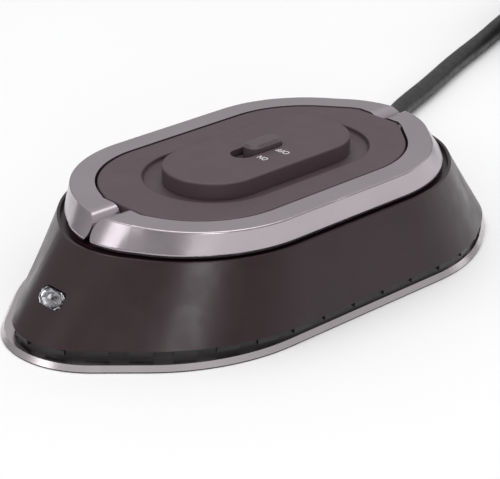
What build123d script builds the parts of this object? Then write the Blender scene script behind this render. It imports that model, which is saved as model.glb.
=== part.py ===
from build123d import *
import math
import os
from dataclasses import dataclass

# Compact travel iron with a split ring handle that folds up from the casing.
# Millimetres, +Z up.  The origin is the centre of the ironing face, the nose
# points to -X and the mains cord leaves the tail at +X.


@dataclass(frozen=True)
class Outline:
    """Rounded hexagon: a nose point, four side corners and a tail point."""

    nose: float            # reach of the rounded nose towards -X
    tail: float            # reach of the rounded tail towards +X
    half_width: float
    front_corner: float    # distance of the front side corners from the origin
    rear_corner: float
    nose_radius: float
    tail_radius: float
    front_radius: float
    rear_radius: float

    @staticmethod
    def apex(reach, corner, half_width, radius):
        """Where the two slanted edges would meet if the end were not rounded."""
        ratio = (half_width / radius) ** 2
        offset = radius - (reach - corner)
        a = ratio - 1
        b = 2 * offset * ratio
        c = offset * offset * ratio - half_width ** 2
        return corner + (-b + math.sqrt(b * b - 4 * a * c)) / (2 * a)

    def ends(self):
        """The x of the sharp nose and the sharp tail."""
        nose = self.apex(self.nose, self.front_corner, self.half_width, self.nose_radius)
        tail = self.apex(self.tail, self.rear_corner, self.half_width, self.tail_radius)
        return -nose, tail

    def inset(self, gap):
        """The parallel outline that lies a gap inside this one."""
        nose_x, tail_x = self.ends()
        front = math.atan2(self.half_width, -nose_x - self.front_corner)
        rear = math.atan2(self.half_width, tail_x - self.rear_corner)
        return Outline(
            self.nose - gap,
            self.tail - gap,
            self.half_width - gap,
            self.front_corner - gap * math.tan(front / 2),
            self.rear_corner - gap * math.tan(rear / 2),
            max(self.nose_radius - gap, 0.5),
            max(self.tail_radius - gap, 0.5),
            max(self.front_radius - gap, 0.5),
            max(self.rear_radius - gap, 0.5),
        )

    def set_back(self, nose, tail, side, front, rear, radii):
        """The outline of another level, each edge moved in from this one's."""
        return Outline(self.nose - nose, self.tail - tail, self.half_width - side,
                       self.front_corner - front, self.rear_corner - rear, *radii)

    def between(self, other, share):
        """The outline a share of the way from this one to another."""
        names = self.__dataclass_fields__
        values = [(1 - share) * getattr(self, n) + share * getattr(other, n) for n in names]
        return Outline(*values)

    def side_y(self, x):
        """Half width of the sharp hexagon at a place along X."""
        nose_x, tail_x = self.ends()
        if x < -self.front_corner:
            return self.half_width * (x - nose_x) / (-self.front_corner - nose_x)
        if x > self.rear_corner:
            return self.half_width * (tail_x - x) / (tail_x - self.rear_corner)
        return self.half_width

    def face(self, z):
        nose_x, tail_x = self.ends()
        front, rear, half = self.front_corner, self.rear_corner, self.half_width
        corners = [(nose_x, 0), (-front, -half), (rear, -half),
                   (tail_x, 0), (rear, half), (-front, half)]
        radii = [self.nose_radius, self.front_radius, self.rear_radius,
                 self.tail_radius, self.rear_radius, self.front_radius]
        line = FilletPolyline(*corners, radius=radii, close=True)
        return (Pos(0, 0, z) * make_face(line.edges())).face()


# ---- driving dimensions -------------------------------------------------
# outlines of the visible levels, from the ironing face up to the handle
sole_length = 179.0
sole_width = 94.6
SOLE = Outline(sole_length / 2, sole_length / 2, sole_width / 2, 51.7, 52.3, 28.1, 40.4, 59.5, 55.0)
SHELL_FOOT = SOLE.set_back(2.7, 1.5, 0.5, 3.4, 1.7, (21.2, 40.3, 64.1, 56.6))
RING_FOOT = SOLE.set_back(24.4, 18.7, 7.55, 6.6, 5.4, (25.4, 35.0, 46.0, 44.0))
RING_TOP = SOLE.set_back(29.5, 23.7, 8.3, 5.5, 9.5, (31.0, 28.0, 38.0, 40.0))

# levels
coating_thickness = 0.4
rim_top_z = 2.0
rim_bevel = 1.1                  # the rim leans in by this much
shell_foot_z = 5.0
ring_top_z = 35.5
ring_height = 8.0
ring_gap = 0.5                   # air under the folded handle
shell_lip_height = 0.6

# soleplate and heater
sole_core_inset = 11.0
sole_core_height = 3.0
heater_radius = 3.2
heater_leg_y = 24.0
heater_nose_x = -58.0
heater_bend_x = -32.0
heater_knee_x = 40.0
heater_tail_x = 56.0
heater_tail_y = 14.0
terminal_radius = 1.2
terminal_height = 9.0
terminal_seat = 0.9              # how deep a terminal is set into the heater's end
sole_screw_nose_inset = 10.3
sole_screw_tail_inset = 14.5
sole_screw_side_inset = 12.6
sole_screw_tail_y = 12.0

# skirt between soleplate and casing
skirt_recess = 1.3
skirt_wall = 4.7
skirt_flange_inset = 4.6
skirt_flange_width = 12.8
skirt_flange_height = 2.0
tooth_length = 6.8
tooth_depth = 0.7
tooth_pitch = 12.2
tooth_height = 1.5
tooth_top_gap = 0.35
skirt_screw_x = 62.0
skirt_screw_inset = 10.5
skirt_screw_tip_z = 17.0
skirt_screw_head_height = 1.2
skirt_screw_head_clearance = 0.2

# casing
shell_wall = 2.2
shell_lip_width = 0.9
shell_lip_gap = 0.9
shell_deck_plate = 2.0
shell_window = (-39.5, 44.5, 21.0, 10.0)     # x from, x to, half width, corner radius
shadow_groove_depth = 1.1
shadow_groove_overlap = 0.8      # how far the groove reaches under the ring
screw_post_radius = 3.2
screw_post_bore_z = 18.0

# handle
ring_width = 7.5
knuckle_gap = 0.8                # between the two raised halves
ring_foot_rounding = 1.2
ring_edge_rounding = 0.5
handle_wall = 1.8
handle_cover = 1.6
handle_solid_end = 12.0          # the ends stay solid this far from the axis
pin_radius = 1.5
pin_clearance = 0.05
pin_depth = 8.5                  # how far a pin reaches into its knuckle
pin_end_gap = 0.3
pin_deck_clearance = 0.4
block_depth = 9.0
block_half_width = 9.5
block_gap = 0.3

# deck
deck_gap = 0.7
deck_wall = 1.8
deck_skin = 1.8
deck_centre_x = 2.7
moat_half_length = 39.4
moat_half_width = 21.6
moat_depth = 2.1
moat_rounding = 1.3              # where the moat's outer wall meets its floor
deck_rounding = 0.6
deck_screw_x = 28.0
deck_lug_radius = 3.4
deck_lug_inset = 3.6
deck_screw_length = 5.5
deck_screw_bore = 6.0
island_half_length = 33.5
island_half_width = 15.8
island_rise = 3.3                # above the top of the ring
island_skin = 2.0

# slide switch
slot_length = 19.0
slot_width = 7.4
slot_centre_x = 2.2
knob_length = 13.6
knob_width = 6.6
knob_proud = 2.2
switch_travel = 5.0
slide_gap = 0.2
carriage_thickness = 1.0
carriage_length = 26.4
carriage_width = 10.0
switch_case = (30.0, 10.0, 9.0)
switch_ear_length = 46.0
switch_ear_drop = 2.0
switch_ear_thickness = 1.6
switch_boss_x = 20.0
boss_radius = 2.5
boss_bore = 3.0
switch_pilot_radius = 0.9
switch_screw_radius = 0.85
switch_screw_hole = 1.0
switch_screw_head_radius = 1.8
switch_screw_head_height = 1.2
switch_screw_reach = 2.6
knob_chamfer = 0.9
peg_half_length = 1.5
peg_half_width = 1.2
peg_depth = 3.0
peg_room = 0.6
tab_x = 9.0
tab_half_width = 2.0
tab_half_thickness = 0.4
tab_depth = 3.0
tab_reach = 4.0

# inner parts
shield_inset = 16.0
shield_sheet = 0.6
shield_z = 11.0
thermostat_radius = 7.0
thermostat_height = 9.0
thermostat_cap_radius = 5.0
thermostat_cap_height = 2.0
thermostat_tab = (17.0, 3.0, 0.8)
part_clearance = 1.0             # round what stands through the shield and mat
fuse_radius = 2.2
fuse_length = 14.0
fuse_x = 24.0
fuse_room = 2.0                  # past the fuse's ends
fuse_room_half_width = 4.0
cord_room = 5.0                  # beside the cord
block_size = (14.0, 24.0, 9.0)
block_x = 42.0
block_screw_pitch = 7.5
block_screw_radius = 2.0
block_screw_depth = 4.0
block_screw_sink = 1.0
lead_radius = 0.9
lead_height = 4.0                # above the block's seat

# indicator
lens_width = 9.4
lens_height = 5.4
lens_proud = 0.9
lens_z = 15.4
lens_clearance = 0.15
lens_flange_depth = 3.4
lens_flange = 1.0
lens_corner_radius = 1.5
lens_chamfer = 0.75
lens_rim = 0.8                   # how far the flange stands out round the window
flange_corner_radius = 2.0
lamp_depth = 5.8
lamp_radius = 2.5
lamp_clearance = 0.1

# screws
screw_radius = 1.5
screw_head_radius = 2.8
screw_head_height = 1.6
screw_clearance = 0.05

# cord, its route and what is on it
cord_diameter = 7.2
cord_exit_z = 13.0
cord_inner_x = 52.0
gland_radius = 5.7
gland_clearance = 0.1
gland_flange_lip = 0.2
gland_flange_from = 11.5         # inside the tail, where the flange and the collar start
gland_collar_from = 9.5
gland_mouth = 1.5                # the collar ends this far past the cord's exit
boot_root_radius = 5.4
boot_tip_radius = 4.3
boot_share = 0.92                # of the first stretch of cord
boot_stations = 5
clamp_span = (59.0, 66.0)
clamp_half_width = 7.0
clamp_wall = 1.6
coil_centre = (278.2, 61.3)
coil_mean_radius = 40.0
coil_columns = 3
coil_rows = 2
tie_thickness = 1.0
tie_width = 12.0
tie_angle = 215.0
plug_length = 36.0
plug_width = 24.0
plug_thickness = 16.0
plug_neck_length = 12.0
plug_neck_radius = 5.0
plug_shoulder = 0.8              # of the full width and thickness
plug_corner_radius = 4.0
blade_root = 8.0                 # inside the plug
blade_length = 17.0
blade_width = 6.35
blade_thickness = 1.5
blade_spacing = 12.7

CORD_ROUTE = [
    (80.5, 0.0, 13.0), (86.8, 8.4, 12.8), (91.8, 18.0, 11.6), (97.6, 27.6, 9.3),
    (104.8, 36.8, 6.6), (112.4, 45.4, 4.9), (121.4, 52.4, 3.9), (133.0, 57.8, 3.6),
    (153.0, 64.8, 3.6), (181.0, 76.2, 3.6), (209.0, 85.8, 3.6), (236.0, 96.6, 3.6),
    (261.5, 105.2, 3.6),
]
PLUG_ROUTE = [
    (325.4, 61.3, 10.8), (325.2, 48.0, 10.4), (326.2, 35.0, 9.2), (327.0, 22.0, 8.0),
]

# ---- derived places ------------------------------------------------------
ring_foot_z = ring_top_z - ring_height
hinge_z = ring_top_z - ring_height / 2
hinge_y = ring_height / 2 + knuckle_gap / 2
ledge_z = ring_foot_z - ring_gap
shell_top_z = ledge_z + shell_lip_height
core_top_z = rim_top_z + sole_core_height
flange_top_z = shell_foot_z + skirt_flange_height
shield_top_z = shield_z + shield_sheet
moat_z = ring_top_z - moat_depth
island_top_z = ring_top_z + island_rise
deck_under_z = ring_top_z - deck_skin
moat_under_z = moat_z - deck_skin
island_under_z = island_top_z - island_skin

SHELL_TOP = RING_FOOT.inset(-(shell_lip_gap + shell_lip_width))
RING_INNER = RING_TOP.inset(ring_width)
deck_inner_gap = deck_gap + deck_wall
carriage_top_z = island_under_z - slide_gap - 0.1
carriage_z = carriage_top_z - carriage_thickness
case_top_z = carriage_z - 0.3
switch_ear_top_z = case_top_z - switch_ear_drop
knob_rest_x = slot_centre_x + slot_length / 2 - slide_gap - knob_length / 2
SWITCH_BOSSES = [slot_centre_x - switch_boss_x, slot_centre_x + switch_boss_x]
SWITCH_TABS = [slot_centre_x - tab_x, slot_centre_x + tab_x]
BLOCK_SCREWS = [-block_screw_pitch, 0.0, block_screw_pitch]
SIDES = (-1, 1)


def slab(outline, low, high):
    return extrude(outline.face(low), high - low)


def taper(low_outline, low, high_outline, high):
    return loft([low_outline.face(low), high_outline.face(high)], ruled=True)


def box(x, y, z):
    """A box between two corners, each given as a (from, to) pair."""
    size = [b - a for a, b in (x, y, z)]
    centre = [(a + b) / 2 for a, b in (x, y, z)]
    return Pos(*centre) * Box(*size)


def rod(x, y, low, high, radius):
    return Pos(x, y, (low + high) / 2) * Cylinder(radius, high - low)


def rod_x(low, high, y, z, radius):
    return Pos((low + high) / 2, y, z) * Rot(0, 90, 0) * Cylinder(radius, high - low)


def tip_wall(reach, radius):
    """Where a rounded tip is as wide as the two raised knuckles beside each other."""
    return reach - radius + math.sqrt(radius ** 2 - (hinge_y + ring_height / 2) ** 2)


NOSE_WALL = -tip_wall(RING_INNER.nose, RING_INNER.nose_radius)
TAIL_WALL = tip_wall(RING_INNER.tail, RING_INNER.tail_radius)


def core_slab(gap, low, high):
    """Slab a gap inside the ring, with flats at both ends for the knuckles to turn on."""
    flats = box((NOSE_WALL + gap, TAIL_WALL - gap), (-SOLE.half_width, SOLE.half_width), (low, high))
    return slab(RING_INNER.inset(gap), low, high) & flats


def stadium(centre_x, half_length, half_width, low, high):
    shape = SlotOverall(2 * half_length, 2 * half_width)
    return extrude(Pos(centre_x, 0, low) * shape, high - low)


def shell_at(z):
    """Outer outline of the casing at a height."""
    return SHELL_FOOT.between(SHELL_TOP, (z - shell_foot_z) / (shell_top_z - shell_foot_z))


def ring_at(z):
    """Outer outline of the ring handle at a height."""
    return RING_FOOT.between(RING_TOP, (z - ring_foot_z) / ring_height)


def screw(x, y, seat, tip):
    """A pan screw whose head sits on the seat and whose tip is at the far end."""
    way = 1 if tip < seat else -1
    head = rod(x, y, *sorted((seat, seat + way * screw_head_height)), screw_head_radius)
    return head + rod(x, y, *sorted((seat, tip)), screw_radius)


def screw_hole(x, y, low, high, radius=screw_radius + screw_clearance):
    return rod(x, y, low, high, radius)


# ---- soleplate, coating and heater --------------------------------------
SOLE_SCREWS = [(-(SHELL_FOOT.nose - sole_screw_nose_inset), 0.0)]
SOLE_SCREWS += [(SHELL_FOOT.tail - sole_screw_tail_inset, side * sole_screw_tail_y) for side in SIDES]
SOLE_SCREWS += [(0.0, side * (SHELL_FOOT.half_width - sole_screw_side_inset)) for side in SIDES]
TERMINAL_PLACES = [(heater_tail_x - 1.5, side * (heater_tail_y + 0.8)) for side in SIDES]


def heater_path():
    points = [
        (heater_tail_x, -heater_tail_y, core_top_z), (heater_knee_x, -heater_leg_y, core_top_z),
        (heater_bend_x, -heater_leg_y, core_top_z), (heater_nose_x, 0.0, core_top_z),
        (heater_bend_x, heater_leg_y, core_top_z), (heater_knee_x, heater_leg_y, core_top_z),
        (heater_tail_x, heater_tail_y, core_top_z),
    ]
    return FilletPolyline(*points, radius=[14.0, 16.0, 13.0, 16.0, 14.0])


def heating_element():
    path = heater_path()
    start = Plane(origin=path @ 0, z_dir=path % 0)
    return sweep(start * Circle(heater_radius), path=path)


def heater_terminals():
    low = core_top_z + heater_radius - terminal_seat
    ends = [rod(x, y, low, low + terminal_height, terminal_radius) for x, y in TERMINAL_PLACES]
    return Compound(children=[end - heating_element() for end in ends])


def sole_coating():
    return slab(SOLE.inset(0.15), 0, coating_thickness)


def soleplate():
    rim = taper(SOLE, coating_thickness, SOLE.inset(rim_bevel), rim_top_z)
    core = slab(SOLE.inset(sole_core_inset), rim_top_z, core_top_z)
    plate = rim + core - heating_element()
    for x, y in SOLE_SCREWS:
        plate -= screw_hole(x, y, rim_top_z - 0.6, core_top_z)
    return plate


# ---- skirt ----------------------------------------------------------------
def skirt_teeth():
    """Blocks spaced evenly round the recessed wall."""
    path = SHELL_FOOT.inset(skirt_recess).face(rim_top_z).outer_wire()
    count = round(path.length / tooth_pitch)
    low = shell_foot_z - tooth_top_gap - tooth_height
    teeth = []
    for i in range(count):
        place = path.location_at((i + 0.5) / count)
        block = Box(tooth_length, tooth_depth * 2, tooth_height)
        tangent = path.tangent_at((i + 0.5) / count)
        turn = math.degrees(math.atan2(tangent.Y, tangent.X))
        teeth.append(Pos(place.position.X, place.position.Y, low + tooth_height / 2)
                     * Rot(0, 0, turn) * block)
    return teeth


SKIRT_SCREWS = [(x, side * SHELL_FOOT.inset(skirt_screw_inset).side_y(x))
                for x in (-skirt_screw_x, skirt_screw_x) for side in SIDES]


def skirt():
    wall_out = SHELL_FOOT.inset(skirt_recess)
    wall = slab(wall_out, rim_top_z, shell_foot_z)
    wall -= slab(wall_out.inset(skirt_wall), rim_top_z, shell_foot_z)
    flange_out = SHELL_FOOT.inset(skirt_flange_inset)
    flange = slab(flange_out, shell_foot_z, flange_top_z)
    body = wall + flange - slab(flange_out.inset(skirt_flange_width), shell_foot_z, flange_top_z)
    for tooth in skirt_teeth():
        body += tooth
    for x, y in SOLE_SCREWS:
        body -= screw_hole(x, y, shell_foot_z, flange_top_z)
    for x, y in SKIRT_SCREWS:
        body -= screw_hole(x, y, shell_foot_z, flange_top_z)
        body -= rod(x, y, shell_foot_z, shell_foot_z + skirt_screw_head_height,
                    screw_head_radius + skirt_screw_head_clearance)
    return body


def sole_screws():
    return Compound(children=[screw(x, y, flange_top_z, rim_top_z - 0.4) for x, y in SOLE_SCREWS])


def skirt_screws():
    parts = []
    for x, y in SKIRT_SCREWS:
        head_top = shell_foot_z + skirt_screw_head_height
        head = rod(x, y, shell_foot_z, head_top, screw_head_radius)
        parts.append(head + rod(x, y, head_top, skirt_screw_tip_z, screw_radius))
    return Compound(children=parts)


# ---- heat insulation ------------------------------------------------------
def vertical_openings(low, high):
    """Round and long openings that let parts on the soleplate stand through."""
    holes = [rod(0, 0, low, high, thermostat_radius + part_clearance)]
    fuse_half = fuse_length / 2 + fuse_room
    holes.append(box((fuse_x - fuse_half, fuse_x + fuse_half),
                     (-fuse_room_half_width, fuse_room_half_width), (low, high)))
    for x, y in TERMINAL_PLACES:
        holes.append(rod(x, y, low, high, terminal_radius + part_clearance))
    beside = cord_diameter / 2 + cord_room
    holes.append(box((cord_inner_x - part_clearance, SHELL_FOOT.tail), (-beside, beside), (flange_top_z, high)))
    return holes


def insulation_mat():
    low = core_top_z + heater_radius
    mat = slab(SHELL_FOOT.inset(shield_inset + 2), low, shield_z)
    for hole in vertical_openings(low, shield_z):
        mat -= hole
    return mat


def heat_shield():
    outline = SHELL_FOOT.inset(shield_inset)
    tray = slab(outline, flange_top_z, shield_top_z)
    tray -= slab(outline.inset(shield_sheet), flange_top_z, shield_z)
    for hole in vertical_openings(shield_z - 1, shield_top_z):
        tray -= hole
    return tray


# ---- casing ---------------------------------------------------------------
def lens_plane():
    """Plane on the nose slope, with +Z straight out of the casing."""
    low, high = shell_at(lens_z - 1), shell_at(lens_z + 1)
    lean = math.atan2(low.nose - high.nose, 2)
    outward = (-math.cos(lean), 0, math.sin(lean))
    return Plane(origin=(-shell_at(lens_z).nose, 0, lens_z), x_dir=(0, -1, 0), z_dir=outward)


def lens_block(clearance, low, high):
    shape = RectangleRounded(lens_width + 2 * clearance, lens_height + 2 * clearance, lens_corner_radius)
    return extrude(lens_plane().offset(low) * shape, high - low)


def first_run(radius):
    """Straight cylinder along the first run of the cord, through the tail wall."""
    start, following = Vector(*CORD_ROUTE[0]), Vector(*CORD_ROUTE[1])
    return extrude(Plane(origin=start, z_dir=following - start) * Circle(radius), (following - start).length)


def body_shell():
    outer = taper(SHELL_FOOT, shell_foot_z, SHELL_TOP, shell_top_z)
    ceiling_z = ledge_z - shell_deck_plate
    inner_top = shell_at(ceiling_z).inset(shell_wall)
    shell = outer - taper(SHELL_FOOT.inset(shell_wall), shell_foot_z, inner_top, ceiling_z)
    for x, y in SKIRT_SCREWS:
        post = rod(x, y, flange_top_z, ceiling_z + shell_deck_plate / 4, screw_post_radius)
        shell += post & outer
    shell -= slab(SHELL_TOP.inset(shell_lip_width), ledge_z, shell_top_z)
    groove = slab(SHELL_TOP.inset(shell_lip_width), ledge_z - shadow_groove_depth, ledge_z)
    groove -= slab(RING_FOOT.inset(shadow_groove_overlap), ledge_z - shadow_groove_depth, ledge_z)
    shell -= groove
    x_from, x_to, half, radius = shell_window
    window = RectangleRounded(x_to - x_from, 2 * half, radius)
    shell -= extrude(Pos((x_from + x_to) / 2, 0, ceiling_z) * window, shell_deck_plate)
    for x, y in SKIRT_SCREWS:
        shell -= screw_hole(x, y, flange_top_z, screw_post_bore_z)
    for x, y in DECK_SCREWS:
        shell -= screw_hole(x, y, ceiling_z, ledge_z)
    shell -= lens_block(lens_clearance, -6, 4)
    tail_x = shell_at(cord_exit_z).tail
    shell -= rod_x(tail_x - gland_flange_from, CORD_ROUTE[0][0] + gland_mouth, 0, cord_exit_z, gland_radius)
    shell -= first_run(boot_root_radius + gland_clearance)
    return shell


# ---- deck with its moat and island ----------------------------------------
deck_screw_y = RING_INNER.half_width - deck_inner_gap - deck_lug_inset
DECK_SCREWS = [(deck_centre_x + end * deck_screw_x, side * deck_screw_y) for end in SIDES for side in SIDES]


def deck_panel():
    deck = core_slab(deck_gap, ledge_z, ring_top_z) - core_slab(deck_inner_gap, ledge_z, deck_under_z)
    deck += stadium(deck_centre_x, moat_half_length + deck_wall, moat_half_width + deck_wall,
                    moat_under_z, deck_under_z)
    deck -= stadium(deck_centre_x, moat_half_length, moat_half_width, moat_z, ring_top_z)
    deck += stadium(deck_centre_x, island_half_length, island_half_width, moat_under_z, island_top_z)
    deck -= stadium(deck_centre_x, island_half_length - deck_wall, island_half_width - deck_wall,
                    moat_under_z, island_under_z)
    rims = deck.edges().filter_by_position(Axis.Z, ring_top_z - 0.01, island_top_z + 0.01)
    deck = fillet(rims, deck_rounding)
    floor = deck.edges().filter_by_position(Axis.Z, moat_z - 0.01, moat_z + 0.01)
    reach = moat_half_width - moat_rounding
    outer_wall = [e for e in floor if max(e.bounding_box().max.Y, -e.bounding_box().min.Y) > reach]
    deck = fillet(outer_wall, moat_rounding)
    for x, y in DECK_SCREWS:
        deck += rod(x, y, ledge_z, deck_under_z, deck_lug_radius) & core_slab(deck_gap, ledge_z, ring_top_z)
        deck -= screw_hole(x, y, ledge_z, ledge_z + deck_screw_bore)
    for x in SWITCH_BOSSES:
        deck += rod(x, 0, switch_ear_top_z, island_under_z, boss_radius)
        deck -= screw_hole(x, 0, switch_ear_top_z, switch_ear_top_z + boss_bore, switch_pilot_radius)
    deck -= stadium(slot_centre_x, slot_length / 2, slot_width / 2, island_under_z, island_top_z)
    for start, stop, side in pin_spans():
        deck -= rod_x(start, stop, side * hinge_y, hinge_z, pin_radius + pin_deck_clearance)
    return deck


def deck_screws():
    seat = ledge_z - shell_deck_plate
    return Compound(children=[screw(x, y, seat, ledge_z + deck_screw_length) for x, y in DECK_SCREWS])


# ---- hinge blocks and pins -------------------------------------------------
def pin_spans():
    """From and to along X, and side, of each hinge pin."""
    reach = deck_inner_gap + block_gap + block_depth - 1
    spans = []
    for side in SIDES:
        spans.append((NOSE_WALL - pin_depth, NOSE_WALL + reach, side))
        spans.append((TAIL_WALL - reach, TAIL_WALL + pin_depth, side))
    return spans


def hinge_block(at_nose):
    """Metal block behind the deck wall that carries the two pins of one end."""
    gap = deck_inner_gap + block_gap
    ends = (NOSE_WALL, NOSE_WALL + gap + block_depth) if at_nose else (TAIL_WALL - gap - block_depth, TAIL_WALL)
    block = box(ends, (-block_half_width, block_half_width), (ledge_z, deck_under_z))
    block &= core_slab(gap, ledge_z, deck_under_z)
    for start, stop, side in pin_spans():
        block -= rod_x(start, stop, side * hinge_y, hinge_z, pin_radius)
    return block


def hinge_pins(at_nose):
    return Compound(children=[rod_x(start, stop, side * hinge_y, hinge_z, pin_radius)
                              for start, stop, side in pin_spans() if (start < 0) == at_nose])


# ---- the two halves of the ring handle --------------------------------------
def ring_body():
    outer = taper(RING_FOOT, ring_foot_z, RING_TOP, ring_top_z)
    outer = fillet(outer.edges().group_by(Axis.Z)[0], ring_foot_rounding)
    outer = fillet(outer.edges().group_by(Axis.Z)[-1], ring_edge_rounding)
    return outer - core_slab(0, ring_foot_z, ring_top_z)


def handle_pocket():
    top = ring_top_z - handle_wall
    outer = taper(RING_FOOT.inset(handle_wall), ring_foot_z, ring_at(top).inset(handle_wall), top)
    return outer - slab(RING_TOP.inset(ring_width - handle_wall), ring_foot_z, top)


def half_space(side, start):
    """Everything beyond a distance from the long axis, on one side."""
    far = SOLE.half_width + 10
    y = sorted((side * start, side * far))
    return box((-120, 120), y, (0, 80))


def handle_half(side):
    keep = half_space(side, hinge_y)
    keep += rod_x(-120, 120, side * hinge_y, hinge_z, ring_height / 2)
    half = ring_body() & keep
    half -= handle_pocket() & half_space(side, hinge_y + handle_solid_end)
    for start, stop, pin_side in pin_spans():
        if pin_side == side:
            bore = rod_x(start - pin_end_gap, stop + pin_end_gap, side * hinge_y, hinge_z,
                         pin_radius + pin_clearance)
            half -= bore
    return half


def handle_cover_half(side):
    cover = handle_pocket() & half_space(side, hinge_y + handle_solid_end)
    return cover & box((-120, 120), (-60, 60), (ring_foot_z, ring_foot_z + handle_cover))


# ---- slide switch ---------------------------------------------------------
def switch_button():
    """Knob, its carriage plate and the peg that works the contacts."""
    knob = stadium(knob_rest_x, knob_length / 2, knob_width / 2, carriage_top_z,
                   island_top_z + knob_proud)
    top = knob.edges().group_by(Axis.Z)[-1]
    knob = chamfer(top, knob_chamfer)
    plate = stadium(knob_rest_x, carriage_length / 2, carriage_width / 2, carriage_z, carriage_top_z)
    peg = box((knob_rest_x - peg_half_length, knob_rest_x + peg_half_length),
              (-peg_half_width, peg_half_width), (case_top_z - peg_depth, carriage_z))
    return knob + plate + peg


def switch_housing():
    length, width, height = switch_case
    case = box((slot_centre_x - length / 2, slot_centre_x + length / 2), (-width / 2, width / 2),
               (case_top_z - height, case_top_z))
    ears = box((slot_centre_x - switch_ear_length / 2, slot_centre_x + switch_ear_length / 2),
               (-width / 2, width / 2), (switch_ear_top_z - switch_ear_thickness, switch_ear_top_z))
    housing = case + ears
    reach, half = peg_half_length + peg_room, peg_half_width + peg_room
    groove = (knob_rest_x - switch_travel - reach, knob_rest_x + reach)
    housing -= box(groove, (-half, half), (case_top_z - peg_depth - 1.0, case_top_z))
    for x in SWITCH_BOSSES:
        housing -= screw_hole(x, 0, 0, switch_ear_top_z, switch_screw_hole)
    for x in SWITCH_TABS:
        low = case_top_z - height
        housing -= tab(x, low, low + tab_depth)
    return housing


def tab(x, low, high):
    return box((x - tab_half_width, x + tab_half_width), (-tab_half_thickness, tab_half_thickness), (low, high))


def switch_terminals():
    low = case_top_z - switch_case[2]
    return Compound(children=[tab(x, low - tab_reach, low + tab_depth) for x in SWITCH_TABS])


def switch_screws():
    seat = switch_ear_top_z - switch_ear_thickness
    parts = []
    for x in SWITCH_BOSSES:
        head = rod(x, 0, seat - switch_screw_head_height, seat, switch_screw_head_radius)
        parts.append(head + rod(x, 0, seat, switch_ear_top_z + switch_screw_reach, switch_screw_radius))
    return Compound(children=parts)


# ---- thermostat, fuse and terminal block ------------------------------------
def thermostat():
    top = core_top_z + thermostat_height
    base = rod(0, 0, core_top_z, top - thermostat_cap_height, thermostat_radius)
    cap = rod(0, 0, top - thermostat_cap_height, top, thermostat_cap_radius)
    length, width, thickness = thermostat_tab
    tabs = box((-length / 2, length / 2), (-width / 2, width / 2), (top, top + thickness))
    return base + cap + tabs


def thermal_fuse():
    return rod_x(fuse_x - fuse_length / 2, fuse_x + fuse_length / 2, 0, core_top_z + fuse_radius, fuse_radius)


def terminal_block():
    length, width, height = block_size
    block = box((block_x - length / 2, block_x + length / 2), (-width / 2, width / 2),
                (shield_top_z, shield_top_z + height))
    top = shield_top_z + height
    for y in BLOCK_SCREWS:
        block -= rod(block_x, y, top - block_screw_depth, top, block_screw_radius)
    return block


def terminal_screws():
    top = shield_top_z + block_size[2]
    return Compound(children=[rod(block_x, y, top - block_screw_depth, top - block_screw_sink, block_screw_radius)
                              for y in BLOCK_SCREWS])


# ---- indicator ---------------------------------------------------------------
def indicator_lens():
    window = lens_block(0, lens_flange - lens_flange_depth, lens_proud)
    front = window.faces().sort_by(Axis(lens_plane().origin, lens_plane().z_dir))[-1]
    window = chamfer(front.edges(), lens_chamfer)
    plane = lens_plane().offset(-lens_flange_depth)
    flange = RectangleRounded(lens_width + 2 * lens_rim, lens_height + 2 * lens_rim, flange_corner_radius)
    return window + extrude(plane * flange, lens_flange)


def lamp_holder():
    plane = lens_plane().offset(-lamp_depth)
    holder = RectangleRounded(lens_width + 2 * lens_rim, lens_height + 2 * lens_rim, flange_corner_radius)
    return extrude(plane * (holder - Circle(lamp_radius + lamp_clearance)), lamp_depth - lens_flange_depth)


def indicator_lamp():
    plane = lens_plane().offset(-lamp_depth)
    return extrude(plane * Circle(lamp_radius), lamp_depth - lens_flange_depth)


# ---- inner leads ---------------------------------------------------------------
def lead(points, radii, radius=lead_radius):
    path = FilletPolyline(*points, radius=radii)
    start = Plane(origin=path @ 0, z_dir=path % 0)
    return sweep(start * Circle(radius), path=path)


def lead_live():
    x, y, z = block_x - block_size[0] / 2, -block_screw_pitch, shield_top_z + lead_height
    low = case_top_z - switch_case[2] - tab_reach
    tab_at = SWITCH_TABS[1]
    return lead([(x, y, z), (x - 10, y, z), (tab_at, -1.5, low - 3.5), (tab_at, -1.3, low + 3)], [5, 3])


def lead_switched():
    low = case_top_z - switch_case[2] - tab_reach
    tab_at = SWITCH_TABS[0]
    top = core_top_z + thermostat_height + thermostat_tab[2]
    return lead([(tab_at, -1.3, low + 3), (tab_at, -1.3, low - 2), (tab_at - 0.5, 0.2, low - 4.5),
                 (tab_at - 0.5, 0.2, top)], [1.5, 1.5])


def lead_neutral():
    x, y, z = block_x + block_size[0] / 2, block_screw_pitch, shield_top_z + lead_height
    pin_x, pin_y = TERMINAL_PLACES[1]
    end = (pin_x, pin_y - terminal_radius - lead_radius, shield_top_z + 1.4)
    return lead([(x, y, z), (x + 3, y, z), end], [1.5])


def lead_lamp():
    x, y, z = block_x - block_size[0] / 2, block_screw_pitch, shield_top_z + lead_height
    plane = lens_plane().offset(-lamp_depth - 0.6)
    end = plane.origin + plane.y_dir * 2.0
    return lead([(x, y, z), (x - 9, y, z), (8, 14.5, shield_top_z + 1.6),
                 (-36, 13.0, shield_top_z + 1.4), (end.X + 8, 3, shield_top_z + 1.8), end],
                [5, 12, 12, 4])


# ---- cord ----------------------------------------------------------------------
def route_path(points):
    """Straight runs joined by arcs as large as the shorter run beside each allows."""
    vectors = [Vector(*p) for p in points]
    radii = []
    for before, here, after in zip(vectors, vectors[1:], vectors[2:]):
        turn = math.radians((here - before).get_angle(after - here))
        short = min((here - before).length, (after - here).length)
        radii.append(0.45 * short / math.tan(turn / 2))
    print("route radii", [round(r, 1) for r in radii])
    return FilletPolyline(*points, radius=radii)


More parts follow.
